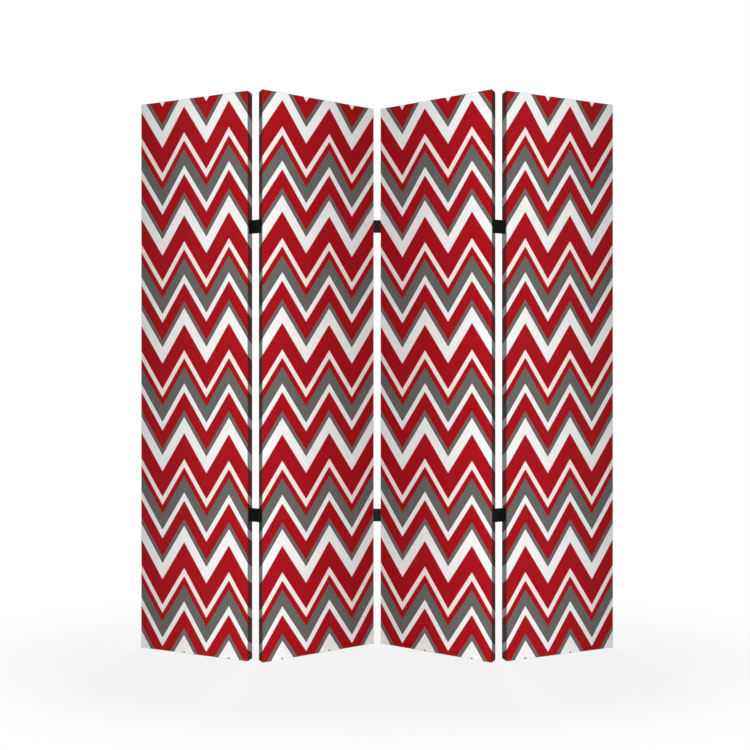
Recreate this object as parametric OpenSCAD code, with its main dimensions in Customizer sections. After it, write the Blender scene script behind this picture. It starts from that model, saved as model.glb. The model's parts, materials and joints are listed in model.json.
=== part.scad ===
// Four-panel canvas folding screen.
// Printed canvas is stretched over four wooden frames, and two-pin hinges join
// the frames, so that every fold can close to the front or to the back.
// Millimetres. The screen stands on Z = 0, is centred on X and Y, and shows its
// front to -Y.

/* [Panels] */
// Height of each finished panel, canvas included
panel_h = 1829; // [1300:1:2200]
// Width of each finished panel, canvas included
panel_w = 406; // [280:1:620]
// Thickness of the wooden frame, front to back
frame_t = 30; // [23:0.5:40]
// Thickness of one layer of canvas
canvas_t = 0.8; // [0.6:0.1:1.2]
// Rounding of the frame's outer edges, under the canvas
edge_r = 2; // [0.5:0.5:4]

/* [Frame members] */
// Face width of the upright stiles
stile_w = 38; // [32:1:60]
// Face width of the top and bottom rails
rail_w = 38; // [30:1:70]
// Face width of the cross rails inside the frame
cross_rail_w = 38; // [26:1:70]
// Thickness of the cross rails, less than the frame's so that the canvas clears them
cross_rail_t = 18; // [12:0.5:22]
// Length of the tenon on each end of a rail
tenon_l = 12; // [6:1:20]
// Thickness of the tenons
tenon_t = 8; // [4:0.5:10]
// Shoulder above and below each tenon
tenon_shoulder = 8; // [3:0.5:11]

/* [Canvas] */
// Width of front canvas turned on to the back of the frame
turn_in = 26; // [22:0.5:32]
// Distance from the panel's edge to the hem of the back canvas
back_inset = 5; // [3:0.5:8]

/* [Staples] */
// Outside width of a staple's crown
staple_crown = 10; // [8:0.5:12.5]
// Length of a staple's legs, crown included
staple_leg = 8; // [5:0.5:9]
// Width of the staple wire
staple_wire_w = 1.2; // [0.8:0.1:1.6]
// Thickness of the staple wire, which the canvas takes in
staple_wire_t = 0.5; // [0.3:0.1:0.5]
// Distance from the panel's edge to the row of staples, past the screws' points
staple_line = 20; // [18:0.5:21]
// Distance from the frame's corners to the first staple
staple_end = 60; // [50:1:90]
// Greatest distance between two staples
staple_pitch = 125; // [80:1:200]

/* [Hinges] */
// Height of each hinge
hinge_h = 44; // [40:1:60]
// Width of each hinge leaf, across the panel's edge
leaf_w = 20; // [19.4:0.2:22]
// Thickness of the leaf plates
leaf_t = 1.6; // [1.2:0.1:2]
// Rounding of the leaf's corners
leaf_corner_r = 2; // [0.5:0.5:3]
// Outside diameter of the knuckles
knuckle_d = 5; // [4.6:0.1:5.2]
// Distance from the panel's edge to the pin's axis
pin_standoff = 2.8; // [2.7:0.1:4]
// Diameter of the hinge pins
pin_d = 2.4; // [1.8:0.1:2.8]
// Running clearance between a pin and the leaf's knuckles, on the radius
pin_clearance = 0.05; // [0.02:0.01:0.1]
// Clearance between a pin and the link that grips it, on the radius
link_clearance = 0.02; // [0.01:0.01:0.03]
// Gap between one knuckle and the next along the pin
knuckle_gap = 0.2; // [0.1:0.05:0.5]
// Gap between a turning knuckle and what it passes
swing_gap = 0.4; // [0.3:0.05:0.6]
// Thickness of the link's web
web_t = 1.6; // [1:0.1:1.8]
// Diameter of the heads on the hinge pins
pin_head_d = 4.2; // [3.4:0.1:5]
// Height of the heads on the hinge pins
pin_head_h = 0.8; // [0.5:0.1:1.5]
// Gap between two panels that are folded flat together
fold_gap = 1.2; // [0.5:0.1:4]

/* [Hinge heights] */
// Height of the lower hinges of the two outer folds
outer_hinge_rise = 468; // [150:1:520]
// Distance from the top down to the upper hinges of the two outer folds
outer_hinge_drop = 435; // [150:1:520]
// Height of the lower hinge of the middle fold
middle_hinge_rise = 437; // [150:1:520]
// Distance from the top down to the upper hinge of the middle fold
middle_hinge_drop = 400; // [150:1:520]

/* [Screws] */
// Diameter of the hinge screws
screw_d = 2.8; // [2.4:0.1:3.2]
// Diameter of the countersunk heads
screw_head_d = 5; // [4.2:0.1:5.2]
// Length of the hinge screws, head included
screw_l = 16; // [10:0.5:18]
// Clearance round the screws, on the radius
screw_clearance = 0.05; // [0.02:0.01:0.1]
// Distance from the leaf's side edge to the screws
screw_edge = 3.4; // [3:0.1:3.6]
// Distance from the hinge's ends to the screws
screw_end = 8; // [5:0.5:12]
// Width of the cross-shaped recess in the heads
recess_w = 0.6; // [0.4:0.1:0.8]
// Length of the cross-shaped recess
recess_l = 2.8; // [2:0.1:3.4]
// Depth of the cross-shaped recess
recess_depth = 0.8; // [0.5:0.1:1]

/* [Standing] */
// Angle of the two inner panels to a straight line, in degrees
inner_angle = 29.2; // [5:0.1:70]
// Angle of the two outer panels to a straight line, in degrees
outer_angle = 20.4; // [5:0.1:70]
// Angle of the two outer folds' links to the same line, in degrees
link_angle = 26; // [-30:1:30]

/* [Hidden] */
$fn = 48;
panel_count = 4;
fold_count = panel_count - 1;
middle_fold = 1;
// Layers of canvas in a panel's thickness: front, turned-in edge and back
canvas_layers = 3;
panel_t = frame_t + canvas_layers * canvas_t;
frame_w = panel_w - 2 * canvas_t;
frame_h = panel_h - 2 * canvas_t;
frame_front = canvas_t - panel_t / 2;
frame_back = frame_front + frame_t;
wrap_t = frame_t + 2 * canvas_t;
frame_mid = frame_front + frame_t / 2;
// How far a cut runs past the face that it opens
cut = 1;

pin_pitch = panel_t + fold_gap;
knuckle_r = knuckle_d / 2;
pin_r = pin_d / 2;
// Knuckles along a pin: the link has the odd ones, the leaf the two between
knuckle_count = 5;
knuckle_step = hinge_h / knuckle_count;
knuckle_h = knuckle_step - knuckle_gap;
link_knuckles = [-2, 0, 2];
leaf_knuckles = [-1, 1];
screw_r = screw_d / 2;
screw_head_h = (screw_head_d - screw_d) / 2;
screw_tip_l = 2 * screw_d;
screw_tip_r = screw_d / 8;
screw_y = leaf_w / 2 - screw_edge;
screw_z = hinge_h / 2 - screw_end;

// Cross rails lie level with the hinges, where the frame takes their load
cross_rail_low = (outer_hinge_rise + middle_hinge_rise) / 2;
cross_rail_high = panel_h - (outer_hinge_drop + middle_hinge_drop) / 2;
cross_rail_heights = [cross_rail_low, cross_rail_high];
rail_low = canvas_t + rail_w / 2;
rail_high = panel_h - rail_low;
rail_left = canvas_t + stile_w;
rail_right = panel_w - rail_left;

// Plan of the standing screen, from its left end to its right end
panel_angles = [-outer_angle, inner_angle, -inner_angle, outer_angle];
link_angles = [-link_angle, 0, link_angle];
function along(angle) = [cos(angle), sin(angle)];
function across(angle) = [-sin(angle), cos(angle)];
function panel_start(i) =
    i == 0 ? [0, 0] : link_end(i - 1) + pin_standoff * along(panel_angles[i]);
function link_start(i) = panel_start(i) + (panel_w + pin_standoff) * along(panel_angles[i]);
function link_end(i) = link_start(i) + pin_pitch * along(link_angles[i]);
function corner(i, x, y) = panel_start(i) + x * along(panel_angles[i]) + y * across(panel_angles[i]);
panel_corners = [
    for (i = [0 : panel_count - 1], x = [0, panel_w], y = [-panel_t / 2, panel_t / 2])
        corner(i, x, y)
];
corner_x = [for (p = panel_corners) p.x];
corner_y = [for (p = panel_corners) p.y];
plan_middle = [max(corner_x) + min(corner_x), max(corner_y) + min(corner_y)] / 2;

function hinge_rise(fold) = fold == middle_fold ? middle_hinge_rise : outer_hinge_rise;
function hinge_drop(fold) = fold == middle_fold ? middle_hinge_drop : outer_hinge_drop;
function hinge_heights(fold) = [hinge_rise(fold), panel_h - hinge_drop(fold)];

// Even places from first to last, no further apart than pitch
function spread(first, last, pitch) =
    let (steps = max(1, ceil((last - first) / pitch)))
    [for (k = [0 : steps]) first + (last - first) * k / steps];
stile_staples = spread(staple_end, panel_h - staple_end, staple_pitch);
rail_staples = spread(stile_w + staple_end, panel_w - stile_w - staple_end, staple_pitch);

PANEL_PARTS = [
    "left_stile", "right_stile", "top_rail", "bottom_rail", "cross_rails",
    "front_canvas", "back_canvas", "staples", "screws"
];
LEAF_SIDES = ["left", "right"];
LEVELS = ["lower", "upper"];
function panel_node(i, part) = str("panel_", i + 1, "_", part);
function leaf_node(fold, level, side) =
    str("fold_", fold + 1, "_", LEVELS[level], "_", LEAF_SIDES[side], "_leaf");
function link_node(fold, level) = str("fold_", fold + 1, "_", LEVELS[level], "_link");
function pins_node(fold) = str("fold_", fold + 1, "_pins");

WOOD = "burlywood";
CANVAS_RED = "firebrick";
CANVAS_BACK = "indianred";
HINGE_BLACK = "#1c1c1c";
STEEL = "silver";

// Flat shapes

// Rectangle from the origin with round corners
module round_rect(w, h, r) {
    translate([r, 0]) square([w - 2 * r, h]);
    translate([0, r]) square([w, h - 2 * r]);
    for (x = [r, w - r], y = [r, h - r]) translate([x, y]) circle(r);
}

// Block of w along X, t along Y and h along Z from the origin, its long edges rounded
module soft_block(w, t, h, r) {
    intersection() {
        linear_extrude(h) round_rect(w, t, r);
        rotate([90, 0, 90]) linear_extrude(w) round_rect(t, h, r);
    }
}

// Places. A panel's own frame has X along its width from its left edge, Y to its
// back from its middle plane, and Z up.

module on_panel(i) {
    translate(panel_start(i) - plan_middle) rotate(panel_angles[i]) children();
}

// A link's own frame has its left pin at the origin and its right pin on +X
module on_link(i) {
    translate(link_start(i) - plan_middle) rotate(link_angles[i]) children();
}

// The pin's axis at a panel's edge, with the panel on the -X side
module at_right_pin(z) {
    translate([panel_w + pin_standoff, 0, z]) children();
}

module at_left_pin(z) {
    translate([-pin_standoff, 0, z]) rotate(180) children();
}

// Every hinge on panel i
module at_panel_hinges(i) {
    if (i < fold_count) {
        for (z = hinge_heights(i)) at_right_pin(z) children();
    }
    if (i > 0) {
        for (z = hinge_heights(i - 1)) at_left_pin(z) children();
    }
}

// The screws of one leaf, with +Z into the panel from the leaf's face
module at_leaf_screws() {
    for (y = [-screw_y, screw_y], z = [-screw_z, screw_z]) {
        translate([leaf_t - pin_standoff, y, z]) rotate([0, -90, 0]) children();
    }
}

// Every staple of a panel, lying along Z with its crown's outside on the XZ plane
module at_staples() {
    for (x = [staple_line, panel_w - staple_line], z = stile_staples) {
        translate([x, frame_back + canvas_t, z]) children();
    }
    for (x = rail_staples, z = [staple_line, panel_h - staple_line]) {
        translate([x, frame_back + canvas_t, z]) rotate([0, 90, 0]) children();
    }
}

// Frame

module frame_block() {
    translate([canvas_t, frame_front, canvas_t]) soft_block(frame_w, frame_t, frame_h, edge_r);
}

module pilot_holes(i) {
    at_panel_hinges(i) at_leaf_screws() {
        translate([0, 0, leaf_t - cut]) cylinder(h = screw_l - leaf_t + cut, r = screw_r + screw_clearance);
    }
}

module staple_legs() {
    for (side = [-1, 1]) {
        translate([
            -staple_wire_w / 2,
            -staple_leg,
            side * (staple_crown - staple_wire_t) / 2 - staple_wire_t / 2
        ]) cube([staple_wire_w, staple_leg, staple_wire_t]);
    }
}

module staple() {
    translate([-staple_wire_w / 2, -staple_wire_t, -staple_crown / 2])
        cube([staple_wire_w, staple_wire_t, staple_crown]);
    staple_legs();
}

// Tenon of a rail of width w at height z, on both ends
module tenons(w, z) {
    tenon_h = w - 2 * tenon_shoulder;
    translate([rail_left - tenon_l, frame_mid - tenon_t / 2, z - tenon_h / 2])
        cube([rail_right - rail_left + 2 * tenon_l, tenon_t, tenon_h]);
}

module all_tenons() {
    for (z = [rail_low, rail_high]) tenons(rail_w, z);
    for (z = cross_rail_heights) tenons(cross_rail_w, z);
}

module stile(i, left_edge) {
    color(WOOD) difference() {
        intersection() {
            frame_block();
            translate([left_edge, frame_front - cut, 0])
                cube([stile_w, frame_t + 2 * cut, panel_h]);
        }
        all_tenons();
        pilot_holes(i);
        at_staples() staple_legs();
    }
}

module left_stile(i) {
    stile(i, canvas_t);
}

module right_stile(i) {
    stile(i, rail_right);
}

module end_rail(z) {
    color(WOOD) difference() {
        union() {
            intersection() {
                frame_block();
                translate([rail_left, frame_front - cut, z - rail_w / 2])
                    cube([rail_right - rail_left, frame_t + 2 * cut, rail_w]);
            }
            tenons(rail_w, z);
        }
        at_staples() staple_legs();
    }
}

module cross_rails() {
    color(WOOD) for (z = cross_rail_heights) {
        translate([rail_left, frame_mid - cross_rail_t / 2, z - cross_rail_w / 2])
            cube([rail_right - rail_left, cross_rail_t, cross_rail_w]);
        tenons(cross_rail_w, z);
    }
}

// Canvas

// One piece of canvas over the front and round all four edges, turned on to the back
module front_canvas(i) {
    color(CANVAS_RED) difference() {
        translate([0, -panel_t / 2, 0]) soft_block(panel_w, wrap_t, panel_h, edge_r + canvas_t);
        frame_block();
        translate([turn_in, frame_mid, turn_in])
            cube([panel_w - 2 * turn_in, frame_t, panel_h - 2 * turn_in]);
        pilot_holes(i);
        at_staples() {
            translate([-staple_wire_w / 2, -frame_t / 2, -staple_crown / 2])
                cube([staple_wire_w, frame_t, staple_crown]);
        }
    }
}

// The hemmed sheet that closes the back
module back_canvas() {
    color(CANVAS_BACK)
        translate([back_inset, frame_back + canvas_t, back_inset])
            cube([panel_w - 2 * back_inset, canvas_t, panel_h - 2 * back_inset]);
}

module staples() {
    color(STEEL) at_staples() staple();
}

// Hinges

// Countersunk wood screw, its head's face on the XY plane and its point at +Z
module screw() {
    difference() {
        union() {
            cylinder(h = screw_head_h, r1 = screw_head_d / 2, r2 = screw_r);
            translate([0, 0, screw_head_h]) cylinder(h = screw_l - screw_head_h - screw_tip_l, r = screw_r);
            translate([0, 0, screw_l - screw_tip_l])
                cylinder(h = screw_tip_l, r1 = screw_r, r2 = screw_tip_r);
        }
        for (turn = [0, 90]) rotate(turn) {
            translate([-recess_l / 2, -recess_w / 2, -cut]) cube([recess_l, recess_w, recess_depth + cut]);
        }
    }
}

module screws(i) {
    color(HINGE_BLACK) at_panel_hinges(i) at_leaf_screws() screw();
}

// Seats of the screws in a leaf
module countersink() {
    translate([0, 0, -cut]) cylinder(
        h = screw_head_h + cut,
        r1 = screw_head_d / 2 + screw_clearance + cut,
        r2 = screw_r + screw_clearance
    );
    cylinder(h = leaf_t + cut, r = screw_r + screw_clearance);
}

// A row of knuckles on the pin's axis
module knuckles(steps) {
    for (k = steps) translate([0, 0, k * knuckle_step]) {
        cylinder(h = knuckle_h, r = knuckle_r, center = true);
    }
}

// Room round the pin for the knuckles of the other half
module knuckle_room(steps) {
    room = 2 * (knuckle_r + swing_gap);
    for (k = steps) translate([0, 0, k * knuckle_step]) {
        cube([room, room, knuckle_step + knuckle_gap], center = true);
    }
}

module pin_bore(r) {
    cylinder(h = hinge_h + 2 * cut, r = r, center = true);
}

// A leaf on its pin's axis, flat against a panel's edge on the -X side
module leaf() {
    color(HINGE_BLACK) difference() {
        union() {
            difference() {
                translate([-pin_standoff, -leaf_w / 2, -hinge_h / 2])
                    rotate([90, 0, 90]) linear_extrude(leaf_t) round_rect(leaf_w, hinge_h, leaf_corner_r);
                knuckle_room(link_knuckles);
            }
            knuckles(leaf_knuckles);
        }
        pin_bore(pin_r + pin_clearance);
        at_leaf_screws() countersink();
    }
}

// The link between the two pins of one hinge
module link() {
    color(HINGE_BLACK) difference() {
        union() {
            difference() {
                translate([0, -web_t / 2, -(hinge_h - knuckle_gap) / 2])
                    cube([pin_pitch, web_t, hinge_h - knuckle_gap]);
                for (x = [0, pin_pitch]) translate([x, 0, 0]) knuckle_room(leaf_knuckles);
            }
            for (x = [0, pin_pitch]) translate([x, 0, 0]) knuckles(link_knuckles);
        }
        for (x = [0, pin_pitch]) translate([x, 0, 0]) pin_bore(pin_r + link_clearance);
    }
}

module pin_head() {
    head_r = pin_head_d / 2;
    dome_r = (head_r * head_r + pin_head_h * pin_head_h) / (2 * pin_head_h);
    rotate_extrude() intersection() {
        square([head_r, pin_head_h]);
        translate([0, pin_head_h - dome_r]) circle(dome_r, $fn = 180);
    }
}

module pin() {
    cylinder(h = hinge_h, r = pin_r, center = true);
    translate([0, 0, hinge_h / 2]) pin_head();
    translate([0, 0, -hinge_h / 2]) mirror([0, 0, 1]) pin_head();
}

module hinge_leaf(fold, level, side) {
    z = hinge_heights(fold)[level];
    if (side == 0) on_panel(fold) at_right_pin(z) leaf();
    else on_panel(fold + 1) at_left_pin(z) leaf();
}

module hinge_link(fold, level) {
    on_link(fold) translate([0, 0, hinge_heights(fold)[level]]) link();
}

module hinge_pins(fold) {
    color(HINGE_BLACK) on_link(fold) {
        for (x = [0, pin_pitch], z = hinge_heights(fold)) translate([x, 0, z]) pin();
    }
}

module panel_part(i, part) {
    on_panel(i) {
        if (part == "left_stile") left_stile(i);
        if (part == "right_stile") right_stile(i);
        if (part == "top_rail") end_rail(rail_high);
        if (part == "bottom_rail") end_rail(rail_low);
        if (part == "cross_rails") cross_rails();
        if (part == "front_canvas") front_canvas(i);
        if (part == "back_canvas") back_canvas();
        if (part == "staples") staples();
        if (part == "screws") screws(i);
    }
}

for (i = [0 : panel_count - 1], part = PANEL_PARTS) {
    panel_part(i, part);
}
for (fold = [0 : fold_count - 1], level = [0, 1], side = [0, 1]) {
    hinge_leaf(fold, level, side);
}
for (fold = [0 : fold_count - 1], level = [0, 1]) {
    hinge_link(fold, level);
}
for (fold = [0 : fold_count - 1]) {
    hinge_pins(fold);
}
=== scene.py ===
"""Looks of a four-panel canvas folding screen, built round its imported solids.

Every panel gets its stretched front canvas, the tucks at its top corners, its hemmed back
sheet and the stitches of that hem. The hinges, screws, staples and the woodwork under the
canvas keep their solids and get their finishes. Lengths are metres, in the solids' frame:
the front faces -Y, +Z is up and the floor is Z = 0.
"""

import json
import logging
import math
from collections.abc import Callable, Iterator
from contextlib import contextmanager
from dataclasses import dataclass, field
from enum import Enum

import bmesh
import bpy
from mathutils import Matrix, Vector, noise

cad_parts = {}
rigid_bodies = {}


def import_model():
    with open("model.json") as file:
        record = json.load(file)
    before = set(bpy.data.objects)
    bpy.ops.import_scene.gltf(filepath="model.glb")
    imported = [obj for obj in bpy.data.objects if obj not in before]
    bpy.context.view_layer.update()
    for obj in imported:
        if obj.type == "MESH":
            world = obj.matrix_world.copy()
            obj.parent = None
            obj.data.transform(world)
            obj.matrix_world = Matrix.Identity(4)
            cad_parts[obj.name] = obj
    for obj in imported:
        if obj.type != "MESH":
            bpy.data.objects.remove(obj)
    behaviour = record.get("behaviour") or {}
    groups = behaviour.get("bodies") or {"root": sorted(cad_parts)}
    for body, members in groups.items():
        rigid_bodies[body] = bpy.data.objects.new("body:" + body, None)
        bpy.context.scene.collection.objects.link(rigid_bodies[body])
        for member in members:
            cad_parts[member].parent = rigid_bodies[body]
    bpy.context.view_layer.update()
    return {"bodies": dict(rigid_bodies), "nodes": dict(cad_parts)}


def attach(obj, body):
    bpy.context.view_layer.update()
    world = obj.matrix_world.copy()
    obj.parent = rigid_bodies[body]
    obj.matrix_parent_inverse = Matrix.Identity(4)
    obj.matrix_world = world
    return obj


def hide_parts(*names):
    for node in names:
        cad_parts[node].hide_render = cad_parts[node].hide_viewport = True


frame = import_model()

LOG = logging.getLogger("screen")
MM = 0.001
CLOTH_UV = "cloth"
FOLD_DISTANCE = "fold_distance"
# Most cuts that one pass of subdivide makes along an edge
CUTS_PER_PASS = 13
# Length, in cells, below which an edge isn't cut
UNCUT_CELLS = 1.5
# Edges of this share of the longest one, or more, are cut together with it
CUT_SHARE = 0.7
# Least share of a normal along the axis that its face looks along, and of an edge along its axis
FACING = 0.9
ALONG = 0.98
# Least angle between the faces of a sharp edge, in radians
SHARP = 0.5
# Distance within which two places are the same
TOUCHING = 0.01 * MM
# Faces across a small rounded edge
SMALL_ROUND = 2
# Steepness of an arch that is round
ROUND_ARCH = 2.0
# Angles below which faces are shaded as one surface, in degrees
CLOTH_SMOOTHING = 50
THREAD_SMOOTHING = 60
# The members of a panel's frame that its canvas is stretched over
RIM_PARTS = ("left_stile", "right_stile", "top_rail", "bottom_rail")

Socket = bpy.types.NodeSocket
Colour = tuple[float, float, float, float]

BLACK: Colour = (0.0, 0.0, 0.0, 1.0)


class Axis(Enum):
    """A direction of a panel's own frame."""

    ACROSS = 0
    DEPTH = 1
    UP = 2


class Edge(Enum):
    """The part of a panel that a face of its canvas lies on."""

    FRONT = "front"
    LEFT = "left"
    RIGHT = "right"
    TOP = "top"
    BOTTOM = "bottom"


class Element(Enum):
    """A kind of mesh element, by its name in Blender's select mode."""

    FACE = "FACE"
    EDGE = "EDGE"


class Ink(Enum):
    """Inks of the print, in sRGB from 0 to 255."""

    RED = (161, 6, 19)
    GREY = (99, 98, 95)
    WHITE = (236, 236, 235)
    CREAM = (240, 227, 221)


def linear(red: float, green: float, blue: float, tone: float = 1.0) -> Colour:
    """Turns an sRGB colour into the linear one that a shader wants.

    Args:
        red: Red, from 0 to 255.
        green: Green, from 0 to 255.
        blue: Blue, from 0 to 255.
        tone: Share of the colour's own lightness that is kept.

    Returns:
        The linear colour, with an alpha of 1.
    """
    parts = (tone * channel / 255 for channel in (red, green, blue))
    # The curve of the sRGB standard
    straight = [p / 12.92 if p <= 0.04045 else ((p + 0.055) / 1.055) ** 2.4 for p in parts]
    return (straight[0], straight[1], straight[2], 1.0)


def deselect_all() -> None:
    """Deselects every object, so that an operator acts on what is selected next."""
    for item in bpy.context.view_layer.objects:
        item.select_set(False)


def activate(piece: bpy.types.Object) -> None:
    """Makes one object the active one and the only selected one.

    Args:
        piece: The object.
    """
    deselect_all()
    piece.select_set(True)
    bpy.context.view_layer.objects.active = piece


@contextmanager
def edit_mode(piece: bpy.types.Object) -> Iterator[None]:
    """Holds an object in edit mode, and puts it back in object mode afterwards.

    Args:
        piece: The object.

    Returns:
        A context, for a with statement.
    """
    activate(piece)
    bpy.ops.object.mode_set(mode="EDIT")
    try:
        yield
    finally:
        bpy.ops.object.mode_set(mode="OBJECT")


def select_only(piece: bpy.types.Object, kind: Element, wanted: Callable[..., bool]) -> None:
    """Selects, in edit mode, only the faces or the edges that a test picks.

    Args:
        piece: The object in edit mode.
        kind: Whether faces or edges are picked.
        wanted: Says whether one of them is picked.
    """
    bpy.ops.mesh.select_mode(type=kind.value)
    bpy.ops.mesh.select_all(action="DESELECT")
    mesh = bmesh.from_edit_mesh(piece.data)
    mesh.normal_update()
    elements = mesh.faces if kind is Element.FACE else mesh.edges
    for element in [candidate for candidate in elements if wanted(candidate)]:
        element.select_set(True)
    bmesh.update_edit_mesh(piece.data)


def runs_along(edge: bmesh.types.BMEdge, axis: Axis) -> bool:
    """Says whether an edge runs along an axis, or within a few degrees of it."""
    run = edge.verts[1].co - edge.verts[0].co
    return abs(run[axis.value]) > ALONG * run.length


def is_sharp(edge: bmesh.types.BMEdge) -> bool:
    """Says whether two faces meet at an edge in a corner."""
    return edge.calc_face_angle() > SHARP


def looks_back(face: bmesh.types.BMFace) -> bool:
    """Says whether a face looks to a panel's back."""
    return face.normal.y > FACING


def divide(piece: bpy.types.Object, axis: Axis, cell: float) -> None:
    """Cuts, in edit mode, the edges along an axis into lengths of about one cell.

    Args:
        piece: The object in edit mode.
        axis: Direction of the edges that are cut.
        cell: Length that an edge ends up with.
    """
    while True:
        mesh = bmesh.from_edit_mesh(piece.data)
        longest = max(edge.calc_length() for edge in mesh.edges if runs_along(edge, axis))
        if longest < UNCUT_CELLS * cell:
            return
        cuts = min(CUTS_PER_PASS, math.ceil(longest / cell) - 1)
        least = CUT_SHARE * longest
        select_only(piece, Element.EDGE, lambda edge: runs_along(edge, axis) and edge.calc_length() > least)
        bpy.ops.mesh.subdivide(number_cuts=cuts)


def apply_transform(piece: bpy.types.Object) -> None:
    """Moves an object's place, turn and scale into its mesh."""
    activate(piece)
    bpy.ops.object.transform_apply(location=True, rotation=True, scale=True)


def rename(piece: bpy.types.Object, name: str) -> None:
    """Names an object and its mesh."""
    piece.name = name
    piece.data.name = name


def join(pieces: list[bpy.types.Object], name: str) -> bpy.types.Object:
    """Joins objects into one.

    Args:
        pieces: The objects, of which the first takes in the others.
        name: Name of the joined object and of its mesh.

    Returns:
        The joined object.
    """
    activate(pieces[0])
    for piece in pieces[1:]:
        piece.select_set(True)
    bpy.ops.object.join()
    rename(pieces[0], name)
    return pieces[0]


def apply_modifier(piece: bpy.types.Object, kind: str, **settings: object) -> None:
    """Adds one modifier to piece and applies it.

    Args:
        piece: The object that is changed.
        kind: Blender's name of the modifier.
        **settings: The modifier's own settings.
    """
    modifier = piece.modifiers.new(kind.lower(), kind)
    for name, value in settings.items():
        setattr(modifier, name, value)
    activate(piece)
    bpy.ops.object.modifier_apply(modifier=modifier.name)


def add_block(name: str, low: Vector, high: Vector) -> bpy.types.Object:
    """Adds a block between two corners, with its place in its mesh.

    Args:
        name: Name of the new object.
        low: Its lowest corner.
        high: Its highest corner.

    Returns:
        The new object.
    """
    bpy.ops.mesh.primitive_cube_add(size=1, location=(low + high) / 2, scale=high - low)
    block = bpy.context.active_object
    rename(block, name)
    apply_transform(block)
    return block


def copy_of(blank: bpy.types.Object, name: str) -> bpy.types.Object:
    """Copies blank, mesh included.

    Args:
        blank: The object that is copied.
        name: Name of the copy and of its mesh.

    Returns:
        The copy.
    """
    copy = blank.copy()
    copy.data = blank.data.copy()
    rename(copy, name)
    bpy.context.scene.collection.objects.link(copy)
    return copy


def smooth_by_angle(piece: bpy.types.Object, angle: float) -> None:
    """Shades piece smooth where its faces meet at less than angle, in degrees."""
    activate(piece)
    bpy.ops.object.shade_smooth_by_angle(angle=math.radians(angle))


def arch(share: float, steepness: float = 4.0) -> float:
    """A low arch.

    Args:
        share: Place under the arch, from 0 to 1.
        steepness: How flat-topped it is, and so how steep at its ends.

    Returns:
        The height, 0 at both ends and past them, and 1 half way.
    """
    if not 0 < share < 1:
        return 0.0
    return 1 - abs(2 * share - 1) ** steepness


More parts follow.
